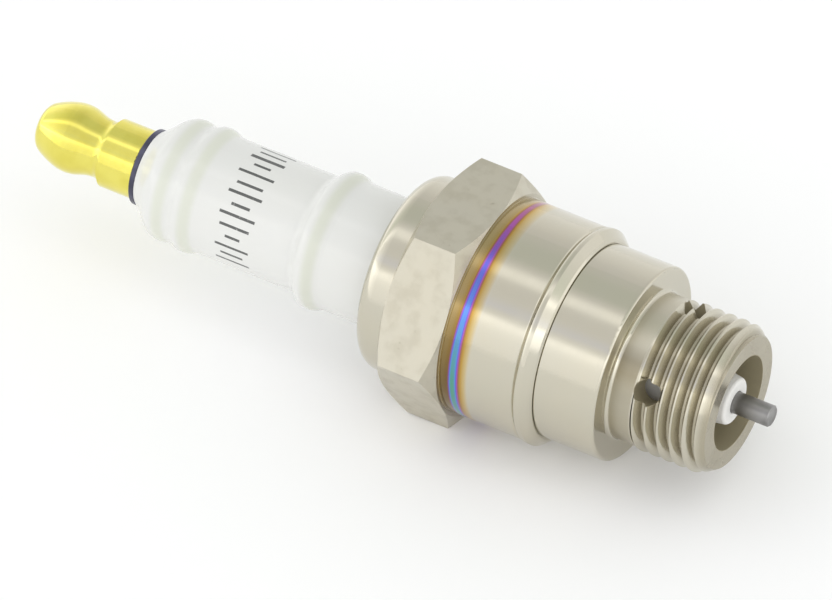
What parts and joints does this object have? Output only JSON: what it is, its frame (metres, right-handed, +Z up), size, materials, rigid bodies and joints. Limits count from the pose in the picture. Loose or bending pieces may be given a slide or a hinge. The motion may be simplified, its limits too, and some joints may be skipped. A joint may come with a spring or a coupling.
{
  "type": "spark plug",
  "caption": "Spark plug with a screw-on terminal nut, ribbed ceramic insulator, hexagon steel shell, vented short-reach thread and a bare centre electrode.",
  "frame": {"origin": "on the plug's axis, in the plane of the seat face that meets the cylinder head", "axes": "+X along the axis towards the firing end, +Z up out of a flat of the hexagon, the plug lying on the opposite flat"},
  "size_m": [0.073, 0.024, 0.0208],
  "materials": {
    "shell_steel": "satin nickel plate",
    "gasket_steel": "satin plated steel",
    "glazed_ceramic": "glossy white glaze",
    "packing_steel": "plain steel",
    "talc": "pressed powder",
    "electrode_nickel": "dull nickel alloy",
    "copper": "copper",
    "seal_glass": "fused copper-filled glass",
    "resistor": "carbon-filled glass",
    "stud_steel": "zinc-plated steel",
    "washer_dark": "blackened",
    "terminal_brass": "bright yellow plate"
  },
  "bodies": {
    "plug": {"shell": "shell_steel", "insulator": "glazed_ceramic", "inner_seat_washer": "packing_steel", "lower_packing_ring": "packing_steel", "talc_packing": "talc", "upper_packing_ring": "packing_steel", "centre_electrode": "electrode_nickel", "electrode_copper_core": "copper", "lower_glass_seal": "seal_glass", "resistor": "resistor", "upper_glass_seal": "seal_glass", "terminal_stud": "stud_steel"},
    "gasket": {"gasket": "gasket_steel"},
    "nut_washer": {"terminal_washer": "washer_dark"},
    "terminal_nut": {"terminal_nut": "terminal_brass"}
  },
  "joints": [
    {"name": "nut_lift", "type": "slide", "parent": "plug", "child": "nut_washer", "axis": [-1, 0, 0], "range_m": [0, 0.007]},
    {"name": "nut_turn", "type": "hinge", "parent": "nut_washer", "child": "terminal_nut", "pos_m": [-0.0515, 0, 0], "axis": [-1, 0, 0], "range_deg": [0, 3600]},
    {"name": "gasket_spin", "type": "hinge", "parent": "plug", "child": "gasket", "pos_m": [-0.0067, 0, 0], "axis": [1, 0, 0], "continuous": true}
  ],
  "couplings": [
    {"joint": "nut_turn", "follows": "nut_lift", "rad_per_m": 8976}
  ]
}
